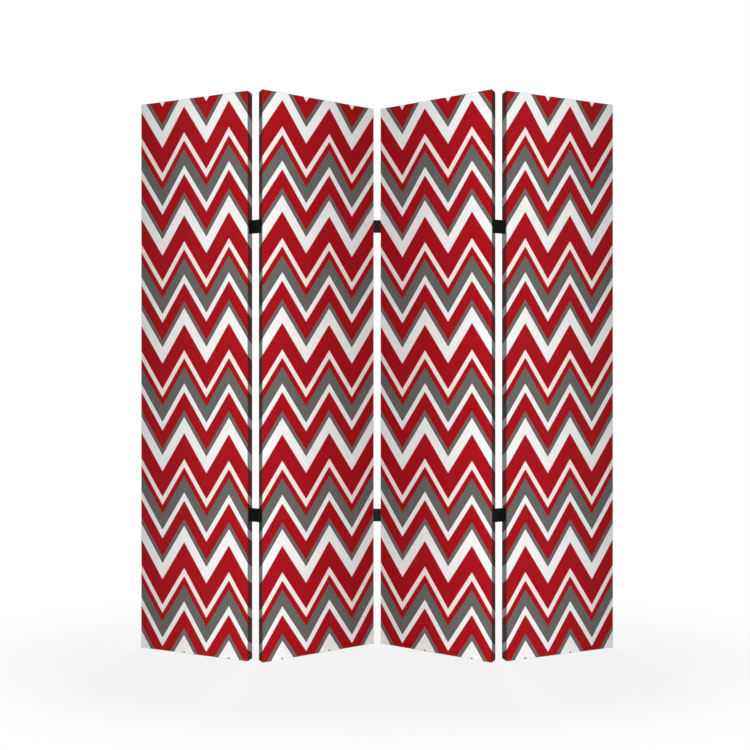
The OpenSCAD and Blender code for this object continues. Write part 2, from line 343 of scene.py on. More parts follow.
class ShaderBoard:
    """The nodes of one material or of the world, written one short call at a time."""

    def __init__(self, owner: bpy.types.Material | bpy.types.World) -> None:
        """Starts with no nodes.

        Args:
            owner: The material or world that the nodes belong to.
        """
        self.owner = owner
        owner.use_nodes = True
        self.tree = owner.node_tree
        self.tree.nodes.clear()

    @classmethod
    def of_material(cls, name: str) -> "ShaderBoard":
        """Makes a new material with no nodes."""
        return cls(bpy.data.materials.new(name))

    def add(self, kind: str, **settings: object) -> bpy.types.Node:
        """Adds a node.

        Args:
            kind: Blender's name of the node, without its ShaderNode prefix.
            **settings: The node's own settings.

        Returns:
            The new node.
        """
        node = self.tree.nodes.new("ShaderNode" + kind)
        for name, value in settings.items():
            setattr(node, name, value)
        return node

    def feed(self, socket: Socket, value: object) -> None:
        """Gives a socket its value.

        Args:
            socket: The socket.
            value: Another socket, which is linked to it, or what it is set to.
        """
        if isinstance(value, bpy.types.NodeSocket):
            self.tree.links.new(value, socket)
        else:
            socket.default_value = value

    def result(self, kind: str, *values: object, **settings: object) -> Socket:
        """Adds a node and feeds it.

        Args:
            kind: Blender's name of the node, without its ShaderNode prefix.
            *values: What its first sockets get, in order: numbers or other sockets.
            **settings: The node's own settings.

        Returns:
            Its first result.
        """
        node = self.add(kind, **settings)
        for socket, value in zip(node.inputs, values):
            self.feed(socket, value)
        return node.outputs[0]

    def math(self, operation: str, *values: object) -> Socket:
        """Does one sum, by Blender's name of it, with numbers or sockets."""
        return self.result("Math", *values, operation=operation)

    def mix(self, share: object, first: object, second: object) -> Socket:
        """Mixes two colours.

        Args:
            share: Share of the second colour.
            first: The first colour.
            second: The second colour.

        Returns:
            The socket of the mixed colour.
        """
        node = self.add("Mix", data_type="RGBA")
        # The node keeps its two colours behind the sockets for numbers and for places
        for index, value in ((0, share), (6, first), (7, second)):
            self.feed(node.inputs[index], value)
        return node.outputs[2]

    def remap(self, value: Socket, low: float, high: float, first: float, last: float) -> Socket:
        """Maps a value between low and high on to first and last, and stays within those."""
        return self.result("MapRange", value, low, high, first, last)

    def noise(self, place: Socket, size: float, detail: float = 2.0) -> Socket:
        """Soft random noise.

        Args:
            place: The point that it is read at, in metres.
            size: Size of its features, in metres.
            detail: How many finer layers it has.

        Returns:
            The socket of a number from 0 to 1, mostly near a half.
        """
        node = self.add("TexNoise")
        self.feed(node.inputs["Vector"], place)
        node.inputs["Scale"].default_value = 1 / size
        node.inputs["Detail"].default_value = detail
        return node.outputs[0]

    def stretched(self, place: Socket, scale: tuple[float, float, float], turn: float = 0.0) -> Socket:
        """Turns a place about Z, and then scales it, so that a pattern on it is drawn out.

        Args:
            place: The point, in metres.
            scale: Factor on each axis. A factor below 1 draws a pattern out.
            turn: Angle about Z, in radians.

        Returns:
            The socket of the new point.
        """
        turned = self.add("VectorRotate", rotation_type="Z_AXIS")
        self.feed(turned.inputs["Vector"], place)
        turned.inputs["Angle"].default_value = turn
        node = self.add("Mapping")
        self.feed(node.inputs["Vector"], turned.outputs[0])
        node.inputs["Scale"].default_value = scale
        return node.outputs[0]

    def parts(self, place: Socket) -> tuple[Socket, ...]:
        """Splits a place into its coordinates X, Y and Z."""
        return tuple(self.result("SeparateXYZ", place).node.outputs)

    def on_cloth(self) -> tuple[Socket, Socket, Socket]:
        """Reads the cloth's own map.

        Returns:
            The place on the cloth, its distance from the panel's far edge and its depth below the top.
        """
        place = self.add("UVMap", uv_map=CLOTH_UV).outputs[0]
        across, down, _ = self.parts(place)
        return place, across, down

    def object_place(self) -> Socket:
        """Reads the place on the piece, in metres."""
        return self.add("TexCoord").outputs["Object"]

    def seen_directly(self) -> Socket:
        """Picks out rays that show the backdrop: from the camera, a mirror or glass.

        Returns:
            The socket, 1 for such a ray.
        """
        path = self.add("LightPath")
        total = path.outputs["Is Camera Ray"]
        for kind in ("Is Glossy Ray", "Is Transmission Ray"):
            total = self.math("MAXIMUM", total, path.outputs[kind])
        return total

    def bump(self, height: Socket) -> Socket:
        """Bends the normal by a height.

        Args:
            height: Height of the surface, in metres.

        Returns:
            The socket of the normal.
        """
        node = self.add("Bump")
        self.feed(node.inputs["Height"], height)
        node.inputs["Distance"].default_value = 1.0
        node.inputs["Strength"].default_value = 1.0
        return node.outputs[0]

    def finish(
        self, colour: object, roughness: object, normal: Socket, **constants: object
    ) -> bpy.types.Material:
        """Closes the material with its shader.

        Args:
            colour: Base colour.
            roughness: Roughness.
            normal: Normal from a bump.
            **constants: Other sockets of the shader, by name with _ for a blank.

        Returns:
            The finished material.
        """
        shader = self.add("BsdfPrincipled")
        self.feed(shader.inputs["Base Color"], colour)
        self.feed(shader.inputs["Roughness"], roughness)
        self.feed(shader.inputs["Normal"], normal)
        for name, value in constants.items():
            shader.inputs[name.replace("_", " ")].default_value = value
        self.feed(self.add("OutputMaterial").inputs[0], shader.outputs[0])
        return self.owner


@dataclass(frozen=True)
class Patches:
    """Random patches on a surface.

    Attributes:
        size: Size of the noise that they come from.
        start: Noise at which a patch starts, from 0 to 1.
        full: Noise at which it is full.
        share: Its strength where it is full.
        detail: How many finer layers the noise has.
    """

    size: float
    start: float
    full: float
    share: float
    detail: float

    def strength(self, board: ShaderBoard, place: Socket) -> Socket:
        """Strength of the patches at a place."""
        patches = board.noise(place, self.size, self.detail)
        return board.remap(patches, self.start, self.full, 0.0, self.share)


@dataclass(frozen=True)
class Weave:
    """Plain weave of a cotton canvas.

    Attributes:
        pitch: Distance from one thread to the next.
        relief: Height of a thread's crown over the gaps.
        dip: Share of its height that a thread loses towards the next crossing.
        slub: Height of the thick and thin places along the threads.
        slub_size: Width of those places.
        slub_draw: Factor that draws them out along the thread.
        slub_detail: How many finer layers they have.
    """

    pitch: float = 0.95 * MM
    relief: float = 0.16 * MM
    dip: float = 0.4
    slub: float = 0.05 * MM
    slub_size: float = 1.4 * MM
    slub_draw: float = 0.05
    slub_detail: float = 1.0

    def crowns(self, board: ShaderBoard, across: Socket, up: Socket) -> Socket:
        """Height of the threads, from 0 in the gaps to 1 on the crowns.

        Args:
            board: The material's nodes.
            across: Place along the weft, in metres.
            up: Place along the warp, in metres.

        Returns:
            The socket of the height.
        """
        columns, rows = (board.math("DIVIDE", run, self.pitch) for run in (across, up))
        round_column, round_row = (
            board.math("ABSOLUTE", board.math("SINE", board.math("MULTIPLY", count, math.pi)))
            for count in (columns, rows)
        )
        warp, weft = (
            board.math("MULTIPLY", own, board.math("MULTIPLY_ADD", other, self.dip, 1 - self.dip))
            for own, other in ((round_column, round_row), (round_row, round_column))
        )
        cells = board.math("ADD", board.math("FLOOR", columns), board.math("FLOOR", rows))
        weft_up = board.math("PINGPONG", cells, 1.0)
        return board.math("MULTIPLY_ADD", weft_up, board.math("SUBTRACT", weft, warp), warp)

    def slubs(self, board: ShaderBoard, place: Socket) -> Socket:
        """Thick and thin places along both ways of the threads, around a half.

        Args:
            board: The material's nodes.
            place: Place on the cloth, in metres.

        Returns:
            The socket of the slubs.
        """
        upright, level = (
            board.noise(board.stretched(place, drawn), self.slub_size, self.slub_detail)
            for drawn in ((1.0, self.slub_draw, 1.0), (self.slub_draw, 1.0, 1.0))
        )
        return board.math("MULTIPLY", board.math("ADD", upright, level), 0.5)

    def height(self, board: ShaderBoard, crowns: Socket, slubs: Socket) -> Socket:
        """Height of the cloth's surface, in metres, from its crowns and slubs."""
        return board.math("MULTIPLY_ADD", crowns, self.relief, board.math("MULTIPLY", slubs, self.slub))


@dataclass(frozen=True)
class Zigzag:
    """The printed zigzag. Its peaks lie on a panel's far edge and every second half period.

    Attributes:
        half_period: Distance across from a peak to the next valley.
        rise: Height from a valley to a peak.
        repeat: Distance down from a stripe to the same stripe again.
        stripes: Where each stripe starts in the repeat, from 0 to 1, and its ink.
        wander: How far the ink strays from a stripe's straight edge.
        wander_size: Distance over which it strays.
    """

    half_period: float = 84.3 * MM
    rise: float = 129.2 * MM
    repeat: float = 359.6 * MM
    stripes: tuple[tuple[float, Ink], ...] = (
        (0.0, Ink.WHITE),
        (0.0456, Ink.RED),
        (0.2134, Ink.GREY),
        (0.2740, Ink.WHITE),
        (0.4250, Ink.RED),
        (0.6638, Ink.CREAM),
        (0.7347, Ink.RED),
        (0.8200, Ink.GREY),
        (0.9659, Ink.WHITE),
    )
    wander: float = 0.6 * MM
    wander_size: float = 2.2 * MM

    def colour(self, board: ShaderBoard, place: Socket, across: Socket, down: Socket) -> Socket:
        """The print's ink at a place on the cloth.

        Args:
            board: The material's nodes.
            place: Place on the cloth, in metres.
            across: Its distance from the panel's far edge.
            down: Its depth below the panel's top.

        Returns:
            The socket of the ink's colour.
        """
        fall = board.math("DIVIDE", board.math("PINGPONG", across, self.half_period), self.half_period)
        lowered = board.math("MULTIPLY_ADD", board.math("SUBTRACT", 1.0, fall), self.rise, down)
        stray = board.math("SUBTRACT", board.noise(place, self.wander_size), 0.5)
        strayed = board.math("MULTIPLY_ADD", stray, 2 * self.wander, lowered)
        phase = board.math("FRACT", board.math("DIVIDE", strayed, self.repeat))
        ramp = board.add("ValToRGB")
        ramp.color_ramp.interpolation = "CONSTANT"
        stops = ramp.color_ramp.elements
        stops[0].position, stops[0].color = self.stripes[0][0], linear(*self.stripes[0][1].value)
        stops[1].position, stops[1].color = self.stripes[-1][0], linear(*self.stripes[-1][1].value)
        for start, ink in self.stripes[1:-1]:
            stops.new(start).color = linear(*ink.value)
        board.feed(ramp.inputs[0], phase)
        return ramp.outputs[0]


@dataclass(frozen=True)
class ThreadShade:
    """How much the threads of a cloth darken it.

    The darkening in the gaps between them is painted shade, and that of their thick
    places is the yarn's own tone.

    Attributes:
        gap_painted_shade: Strength of the painted shade in the gaps between threads.
        slub: Strength of the shade of thick places.
        slub_start: Slub at which that shade starts.
        slub_full: Slub at which it is full.
        crown: Height of a thread from which no painted shade is left.
    """

    gap_painted_shade: float
    slub: float
    slub_start: float
    slub_full: float = 0.62
    crown: float = 0.8

    def painted_shade_in_gaps(self, board: ShaderBoard, crowns: Socket) -> Socket:
        """Strength of the painted shade in the gaps, which falls off with the threads' height."""
        return board.remap(crowns, 0.0, self.crown, self.gap_painted_shade, 0.0)

    def on_slubs(self, board: ShaderBoard, slubs: Socket) -> Socket:
        """Strength of the shade that comes from the slubs."""
        return board.remap(slubs, self.slub_start, self.slub_full, 0.0, self.slub)


@dataclass(frozen=True)
class CanvasFinish:
    """Cotton canvas, printed on its outside or left raw.

    Attributes:
        weave: The cloth's weave.
        print: The pattern on it.
        print_shade: How the threads darken the print, with painted shade in their gaps.
        raw: Colour of the unprinted cotton, in sRGB.
        raw_shade: How the threads darken the raw cotton, with painted shade in their gaps.
        raw_tone: Lightness of the raw cotton's painted shade and slubs, as a share of its own.
        mottle: The faint cloudiness of the ink.
        mottle_tone: Lightness of the ink where it is cloudy, as a share of its own.
        specks: The spots where raw cotton shows through the ink.
        rubbed: The patches of worn ink along a folded edge.
        rub_reach: Distances from a folded edge at which the wear starts to fade, and ends.
        roughness: Roughness of the print, in the weave's gaps and on its crowns.
        front: Width and height of the front, beyond which the cloth is wrapped round the frame.
        wrap_painted_shade_reach: Distances past the front's edge at which the painted shade starts, and is
            full.
        wrap_painted_shade_tone: Share of its lightness that the print keeps under the painted shade on the
            wrapped edges.
        wrap_stretch: Share of the cloth's own measure that the print moves on by on those edges.
    """

    weave: Weave = Weave()
    print: Zigzag = Zigzag()
    print_shade: ThreadShade = ThreadShade(gap_painted_shade=0.16, slub=0.10, slub_start=0.42)
    raw: tuple[int, int, int] = (222, 211, 190)
    raw_shade: ThreadShade = ThreadShade(gap_painted_shade=0.35, slub=0.5, slub_start=0.4)
    raw_tone: float = 0.8
    mottle: Patches = Patches(size=70 * MM, start=0.3, full=0.7, share=0.07, detail=4.0)
    mottle_tone: float = 0.5
    specks: Patches = Patches(size=0.8 * MM, start=0.66, full=0.74, share=0.12, detail=1.0)
    rubbed: Patches = Patches(size=6 * MM, start=0.48, full=0.72, share=0.15, detail=4.0)
    rub_reach: tuple[float, float] = (0.3 * MM, 2.2 * MM)
    roughness: tuple[float, float] = (0.95, 0.84)
    front: tuple[float, float] = (406 * MM, 1829 * MM)
    wrap_painted_shade_reach: tuple[float, float] = (-1.5 * MM, 0.5 * MM)
    wrap_painted_shade_tone: float = 0.29
    wrap_stretch: float = 0.40

    def wrapped(self, board: ShaderBoard, across: Socket, down: Socket) -> Socket:
        """Says where the cloth has gone round an edge of the frame, where the print gets painted shade.

        Args:
            board: The material's nodes.
            across: Distance from the panel's far edge.
            down: Depth below the panel's top.

        Returns:
            The socket, from 0 on the front to 1 past its edges.
        """
        beyond = [
            board.math("SUBTRACT", board.math("ABSOLUTE", board.math("SUBTRACT", place, side / 2)), side / 2)
            for place, side in zip((across, down), self.front)
        ]
        return board.remap(board.math("MAXIMUM", *beyond), *self.wrap_painted_shade_reach, 0.0, 1.0)

    def drawn_on(self, board: ShaderBoard, place: Socket, side: float) -> Socket:
        """Slows the print down on the wrapped edges, over which it is stretched.

        Args:
            board: The material's nodes.
            place: Distance over the cloth from one edge of the front.
            side: Distance from that edge to the other one.

        Returns:
            The socket of the distance over the print.
        """
        on_front = board.math("MINIMUM", board.math("MAXIMUM", place, 0.0), side)
        past = board.math("SUBTRACT", place, on_front)
        return board.math("MULTIPLY_ADD", past, self.wrap_stretch, on_front)

    def printed(self) -> bpy.types.Material:
        """Makes the printed side: ink on the weave, with specks, and rubbed on the folds.

        The weave's gaps and the wrapped edges get painted shade.

        Returns:
            The material.
        """
        board = ShaderBoard.of_material("printed_canvas")
        place, across, down = board.on_cloth()
        crowns = self.weave.crowns(board, across, down)
        slubs = self.weave.slubs(board, place)
        width, height = self.front
        print_across = self.drawn_on(board, across, width)
        print_down = self.drawn_on(board, down, height)
        raw = linear(*self.raw)
        ink = self.print.colour(board, place, print_across, print_down)
        cloud = board.mix(1 - self.mottle_tone, ink, BLACK)
        clouded = board.mix(self.mottle.strength(board, place), ink, cloud)
        # Painted shade: the print is darkened in the gaps between the threads
        shaded = board.mix(self.print_shade.painted_shade_in_gaps(board, crowns), clouded, BLACK)
        threads = board.mix(self.print_shade.on_slubs(board, slubs), shaded, BLACK)
        speckled = board.mix(self.specks.strength(board, place), threads, raw)
        # Painted shade: the print is darkened on the wrapped edges, standing in for the shade that falls
        # there
        deep = board.math("MULTIPLY", self.wrapped(board, across, down), 1 - self.wrap_painted_shade_tone)
        edge_painted_shaded = board.mix(deep, speckled, BLACK)
        fold = board.add("Attribute", attribute_name=FOLD_DISTANCE).outputs["Fac"]
        near_fold = board.remap(fold, *self.rub_reach, 1.0, 0.0)
        worn = board.math("MULTIPLY", near_fold, self.rubbed.strength(board, place))
        return board.finish(
            board.mix(worn, edge_painted_shaded, raw),
            board.remap(crowns, 0.0, 1.0, *self.roughness),
            board.bump(self.weave.height(board, crowns, slubs)),
            Sheen_Weight=0.03,
            Sheen_Roughness=0.6,
            Specular_IOR_Level=0.07,
        )

    def unprinted(self) -> bpy.types.Material:
        """Makes the inside of the cloth, which is raw cotton.

        Returns:
            The material.
        """
        board = ShaderBoard.of_material("raw_canvas")
        place, across, down = board.on_cloth()
        crowns = self.weave.crowns(board, across, down)
        slubs = self.weave.slubs(board, place)
        dark = linear(*self.raw, tone=self.raw_tone)
        threads = board.mix(self.raw_shade.on_slubs(board, slubs), linear(*self.raw), dark)
        # Painted shade: the raw cotton is darkened in the gaps between the threads
        return board.finish(
            board.mix(self.raw_shade.painted_shade_in_gaps(board, crowns), threads, dark),
            self.roughness[0],
            board.bump(self.weave.height(board, crowns, slubs)),
            Sheen_Weight=0.2,
            Specular_IOR_Level=0.2,
        )


@dataclass(frozen=True)
class ThreadFinish:
    """Twisted polyester thread.

    Attributes:
        colour: Its colour, in sRGB.
        ply: Distance from one turn of the plies to the next.
        ply_painted_shade: Strength of the painted shade between the plies.
        ply_painted_shade_tone: Lightness of that painted shade, as a share of the thread's own.
        relief: Height of the plies, and of the fuzz on them.
        fuzz: Size of the fuzz.
        roughness: Roughness of the thread.
    """

    colour: tuple[int, int, int] = (205, 202, 196)
    ply: float = 0.45 * MM
    ply_painted_shade: float = 0.6
    ply_painted_shade_tone: float = 0.7
    relief: float = 0.03 * MM
    fuzz: float = 0.4 * MM
    roughness: float = 0.6

    def material(self) -> bpy.types.Material:
        """Makes the thread's material, ridged by its plies, with painted shade between them.

        Returns:
            The material.
        """
        board = ShaderBoard.of_material("hem_thread")
        place = board.object_place()
        across, deep, up = board.parts(place)
        run = board.math("ADD", board.math("ADD", across, deep), up)
        plies = board.math("SINE", board.math("MULTIPLY", run, math.tau / self.ply))
        fuzz = board.noise(place, self.fuzz)
        # Painted shade: the thread is darkened in the grooves between its plies
        dark = linear(*self.colour, tone=self.ply_painted_shade_tone)
        colour = board.mix(board.remap(plies, -1.0, 1.0, self.ply_painted_shade, 0.0), linear(*self.colour), dark)
        height = board.math("MULTIPLY_ADD", plies, self.relief, board.math("MULTIPLY", fuzz, self.relief))
        return board.finish(colour, self.roughness, board.bump(height), Sheen_Weight=0.3)


@dataclass(frozen=True)
class PineFinish:
    """Planed softwood, unfinished.

    Attributes:
        early: Colour of the pale wood between the rings, in sRGB.
        late: Colour of the rings, in sRGB.
        ring: Distance from one ring line to the next on a face.
        drawn: Factor that draws the grain out along the member.
        wave: How many rings the wave pattern's unit holds.
        wander: How far the rings stray from true circles.
        line_start: Height of the wave at which a ring line starts.
        ring_detail: How many finer layers their straying has.
        fibre: Width of the fibres.
        fibre_detail: How many finer layers they have.
        fibre_range: Noise at which their shade starts, and is full.
        fibre_shade: Strength of their shade.
        fibre_relief: Height of the fibres.
        ring_relief: Height of the ring lines.
        roughness: Roughness between the rings and on them.
    """

    early: tuple[int, int, int] = (224, 190, 142)
    late: tuple[int, int, int] = (176, 124, 72)
    ring: float = 5.5 * MM
    drawn: float = 0.035
    wave: float = 20.0
    wander: float = 3.5
    line_start: float = 0.35
    ring_detail: float = 2.0
    fibre: float = 0.5 * MM
    fibre_detail: float = 3.0
    fibre_range: tuple[float, float] = (0.4, 0.7)
    fibre_shade: float = 0.35
    fibre_relief: float = 0.12 * MM
    ring_relief: float = 0.05 * MM
    roughness: tuple[float, float] = (0.78, 0.62)

    def material(self, name: str, heading: float, grain: Axis) -> bpy.types.Material:
        """Makes the wood of members that lie one way on one panel.

        Args:
            name: The material's name.
            heading: The panel's turn about Z, in radians.
            grain: Direction of the grain, in the panel's own frame.

        Returns:
            The material.
        """
        board = ShaderBoard.of_material(name)
        drawn = [1.0, 1.0, 1.0]
        drawn[grain.value] = self.drawn
        grained = board.stretched(board.object_place(), tuple(drawn), -heading)
        rings = board.add("TexWave", wave_type="RINGS", rings_direction="Z" if grain is Axis.UP else "X")
        board.feed(rings.inputs["Vector"], grained)
        rings.inputs["Scale"].default_value = 1 / (self.wave * self.ring)
        rings.inputs["Distortion"].default_value = self.wander
        rings.inputs["Detail"].default_value = self.ring_detail
        lines = board.remap(rings.outputs["Fac"], self.line_start, 1.0, 0.0, 1.0)
        fibres = board.noise(grained, self.fibre, self.fibre_detail)
        late = linear(*self.late)
        wood = board.mix(lines, linear(*self.early), late)
        shown = board.mix(board.remap(fibres, *self.fibre_range, 0.0, self.fibre_shade), wood, late)
        raised = board.math("MULTIPLY", lines, self.ring_relief)
        height = board.math("MULTIPLY_ADD", fibres, self.fibre_relief, raised)
        roughness = board.remap(lines, 0.0, 1.0, *self.roughness)
        return board.finish(shown, roughness, board.bump(height), Specular_IOR_Level=0.35)


@dataclass(frozen=True)
class MetalFinish:
    """Steel, bare or under a dull coat.

    Attributes:
        name: The material's name.
        colour: Colour of the coat or of the metal, in sRGB.
        worn: Colour where the coat is thin, in sRGB.
        metallic: 1 for bare metal and 0 for a coat.
        roughness: Roughness of its clean surface.
        grain: Size of the coat's fine texture.
        detail: How many finer layers that texture and the dust have.
        relief: Height of that texture.
        specular: Strength of the coat's gloss.
        wear_reach: Sharpness of an edge at which the coat starts to thin, and is thinnest.
        wear_range: Noise of the texture at which it is thin least, and most.
        wear_share: Least and most of the wear on a sharp edge, as shares.
        dust: Most of the dust that lies on it, as a share.
        dust_range: Noise at which the dust starts, and is full.
        dust_tone: How far the dust pales the coat, as a share.
        dust_grains: Size of the dusty places, in grains of the texture.
        gloss_range: Noise at which the roughness is least, and most.
        gloss_change: How far the roughness strays from the clean surface's.
    """

    name: str
    colour: tuple[int, int, int]
    worn: tuple[int, int, int]
    metallic: float
    roughness: float
    grain: float
    relief: float
    detail: float = 3.0
    specular: float = 0.07
    wear_reach: tuple[float, float] = (0.56, 0.70)
    wear_range: tuple[float, float] = (0.45, 0.6)
    wear_share: tuple[float, float] = (0.2, 0.8)
    dust: float = 0.25
    dust_range: tuple[float, float] = (0.45, 0.75)
    dust_tone: float = 0.3
    dust_grains: float = 14.0
    gloss_range: tuple[float, float] = (0.3, 0.7)
    gloss_change: tuple[float, float] = (-0.06, 0.10)

    def material(self) -> bpy.types.Material:
        """Makes the metal: a fine texture, thin places on its edges and a little dust.

        Returns:
            The material.
        """
        board = ShaderBoard.of_material(self.name)
        place = board.object_place()
        fine = board.noise(place, self.grain, self.detail)
        broad = board.noise(place, self.dust_grains * self.grain, self.detail)
        edges = board.remap(board.add("NewGeometry").outputs["Pointiness"], *self.wear_reach, 0.0, 1.0)
        thin = board.math("MULTIPLY", edges, board.remap(fine, *self.wear_range, *self.wear_share))
        worn = board.mix(thin, linear(*self.colour), linear(*self.worn))
        dusty = board.mix(self.dust_tone, worn, linear(*self.worn))
        colour = board.mix(board.remap(broad, *self.dust_range, 0.0, self.dust), worn, dusty)
        uneven = board.remap(broad, *self.gloss_range, *self.gloss_change)
        roughness = board.math("ADD", uneven, self.roughness)
        return board.finish(
            colour,
            roughness,
            board.bump(board.math("MULTIPLY", fine, self.relief)),
            Metallic=self.metallic,
            Specular_IOR_Level=self.specular,
        )


HINGE_COAT = MetalFinish(
    "hinge_coat",
    colour=(6, 6, 7),
    worn=(26, 26, 27),
    metallic=0.0,
    roughness=0.46,
    grain=0.5 * MM,
    relief=0.03 * MM,
)
SCREW_BLACK = MetalFinish(
    "screw_black",
    colour=(26, 26, 28),
    worn=(70, 70, 74),
    metallic=0.6,
    roughness=0.42,
    grain=0.3 * MM,
    relief=0.01 * MM,
)
PIN_BLACK = MetalFinish(
    "pin_black",
    colour=(22, 22, 24),
    worn=(86, 86, 90),
    metallic=0.7,
    roughness=0.36,
    grain=0.3 * MM,
    relief=0.01 * MM,
)
STAPLE_ZINC = MetalFinish(
    "staple_zinc",
    colour=(186, 188, 192),
    worn=(120, 120, 122),
    metallic=1.0,
    roughness=0.34,
    grain=0.4 * MM,
    relief=0.01 * MM,
)


@dataclass(frozen=True)
class PanelPlace:
    """Where one panel stands and its outer sizes, read from its solids at rest.

    A panel's own frame has X across it from its left edge, Y from its front to its back, and
    Z up from the floor.

    Attributes:
        number: The panel's number, from 1 at the left.
        corner: The front bottom left corner of its canvas.
        heading: Its turn about Z, in radians.
        width: Width of the canvas.
        depth: Depth of the front canvas's wrap, from its front to its turned-in edge.
        height: Height of the canvas.
        stile: Width of the frame's stiles, canvas included.
        back_inset: Distance from the panel's edge to the back sheet.
    """

    number: int
    corner: Vector
    heading: float
    width: float
    depth: float
    height: float
    stile: float
    back_inset: float

    @classmethod
    def from_solids(cls, number: int, nodes: dict[str, bpy.types.Object]) -> "PanelPlace":
        """Reads a panel's place.

        Args:
            number: The panel's number.
            nodes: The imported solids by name.

        Returns:
            The place.
        """

        def points(part: str) -> list[Vector]:
            """The corners of one of the panel's solids."""
            return [vertex.co for vertex in nodes[f"panel_{number}_{part}"].data.vertices]

        ends = sorted(points("back_canvas"), key=lambda point: point.x)
        half = len(ends) // 2
        run = sum(ends[half:], Vector()) - sum(ends[:half], Vector())
        heading = math.atan2(run.y, run.x)
        turn = Matrix.Rotation(-heading, 3, "Z")

        def extent(part: str, axis: Axis) -> tuple[float, float]:
            """Lowest and highest coordinate of a solid along an axis of the panel."""
            along = [(turn @ point)[axis.value] for point in points(part)]
            return min(along), max(along)

        left, right = extent("front_canvas", Axis.ACROSS)
        front, behind = extent("front_canvas", Axis.DEPTH)
        floor, top = extent("front_canvas", Axis.UP)
        return cls(
            number=number,
            corner=turn.inverted() @ Vector((left, front, floor)),
            heading=heading,
            width=right - left,
            depth=behind - front,
            height=top - floor,
            stile=extent("left_stile", Axis.ACROSS)[1] - left,
            back_inset=extent("back_canvas", Axis.ACROSS)[0] - left,
        )

    @property
    def body(self) -> str:
        """Name of the body that the panel's pieces ride on."""
        return f"panel_{self.number}"

    @property
    def far_edge(self) -> Edge:
        """The upright edge that lies further back, where the print has its peak."""
        return Edge.LEFT if self.heading < 0 else Edge.RIGHT

    def over_opening(self, point: Vector) -> float:
        """Says how far a point lies over the opening inside the frame's members.

        Args:
            point: The point, in the panel's own frame.

        Returns:
            A share, 0 over the members and 1 well inside the opening.
        """
        shares = (
            (place - self.stile) / (side - 2 * self.stile)
            for place, side in ((point.x, self.width), (point.z, self.height))
        )
        return math.prod(arch(share) for share in shares)

    def put(self, piece: bpy.types.Object) -> None:
        """Moves a piece from the panel's own frame to where the panel stands."""
        piece.matrix_world = Matrix.Translation(self.corner) @ Matrix.Rotation(self.heading, 4, "Z")
        apply_transform(piece)


@dataclass
class ClothMap:
    """Lays the cloth's own measure on a panel's pieces, so that the print runs on round the folds.

    Attributes:
        place: The panel.
    """

    place: PanelPlace

    def edge_of(self, face: bmesh.types.BMFace) -> Edge:
        """The part of the panel that a face belongs to.

        Args:
            face: A face of a piece in the panel's own frame.

        Returns:
            The part.
        """
        normal = face.normal
        if normal.y < -FACING:
            return Edge.FRONT
        if looks_back(face):
            middle = face.calc_center_median()
            gaps = {
                Edge.LEFT: middle.x,
                Edge.RIGHT: self.place.width - middle.x,
                Edge.TOP: self.place.height - middle.z,
                Edge.BOTTOM: middle.z,
            }
            return min(gaps, key=lambda edge: gaps[edge])
        if abs(normal.x) >= abs(normal.z):
            return Edge.RIGHT if normal.x > 0 else Edge.LEFT
        return Edge.TOP if normal.z > 0 else Edge.BOTTOM

    def travel(self, inward: float, depth: float) -> float:
        """How far past the front's edge the cloth has run.

        Args:
            inward: Distance in from the panel's side, which is above 0 on a rounded edge and on the back.
            depth: Distance behind the front.

        Returns:
            The distance over the cloth.
        """
        return depth + inward if depth > self.place.depth / 2 else depth - inward

    def measure(self, point: Vector, edge: Edge) -> tuple[float, float]:
        """Place of a point on the flat cloth.

        Args:
            point: The point, in the panel's own frame.
            edge: The part of the panel that it is on.

        Returns:
            The distance from the panel's far edge and the depth below its top.
        """
        width, height = self.place.width, self.place.height
        across, down = point.x, height - point.z
        if edge is Edge.LEFT:
            across = -self.travel(point.x, point.y)
        elif edge is Edge.RIGHT:
            across = width + self.travel(width - point.x, point.y)
        elif edge is Edge.TOP:
            down = -self.travel(height - point.z, point.y)
        elif edge is Edge.BOTTOM:
            down = height + self.travel(point.z, point.y)
        if self.place.far_edge is Edge.RIGHT:
            across = width - across
        return across, down

    def lay(self, piece: bpy.types.Object, flat: bool = False) -> None:
        """Writes the cloth's measure, and each corner's distance from the nearest fold.

        Args:
            piece: The piece, in the panel's own frame.
            flat: Whether it is a flat sheet, whose faces all lie on the panel's plane.
        """
        mesh = bmesh.new()
        mesh.from_mesh(piece.data)
        mesh.normal_update()
        layer = mesh.loops.layers.uv.new(CLOTH_UV)
        folds = mesh.verts.layers.float.new(FOLD_DISTANCE)
        for face in mesh.faces:
            edge = Edge.FRONT if flat else self.edge_of(face)
            for loop in face.loops:
                loop[layer].uv = self.measure(loop.vert.co, edge)
        for vertex in mesh.verts:
            vertex[folds] = self.fold_distance(vertex.co, flat)
        mesh.to_mesh(piece.data)
        mesh.free()

    def fold_distance(self, point: Vector, flat: bool) -> float:
        """Distance of a point on the surface from the nearest folded edge.

        Args:
            point: The point, in the panel's own frame.
            flat: Whether it is on a flat sheet, whose folds are its own outline.

        Returns:
            The distance.
        """
        place = self.place
        rim = place.back_inset if flat else 0.0
        sides = min(point.x, place.width - point.x) - rim
        ends = min(point.z, place.height - point.z) - rim
        if flat:
            return max(0.0, min(sides, ends))
        faces = min(point.y, place.depth - point.y)
        return max(0.0, sorted((sides, ends, faces))[1])


@dataclass(frozen=True)
class Waves:
    """Slow random waves in a panel's cloth.

    Attributes:
        height: Height of the waves.
        size: Length of one.
        seed: Number that picks their pattern, multiplied by the panel's number.
        drawn: Factor that draws them out upright.
    """

    height: float
    size: float
    seed: float
    drawn: float = 1.0

    def at(self, place: PanelPlace, point: Vector) -> float:
        """Height of the waves at a point of a panel's own frame."""
        spot = Vector((point.x, self.seed * place.number, self.drawn * point.z))
        return self.height * noise.noise(spot / self.size)


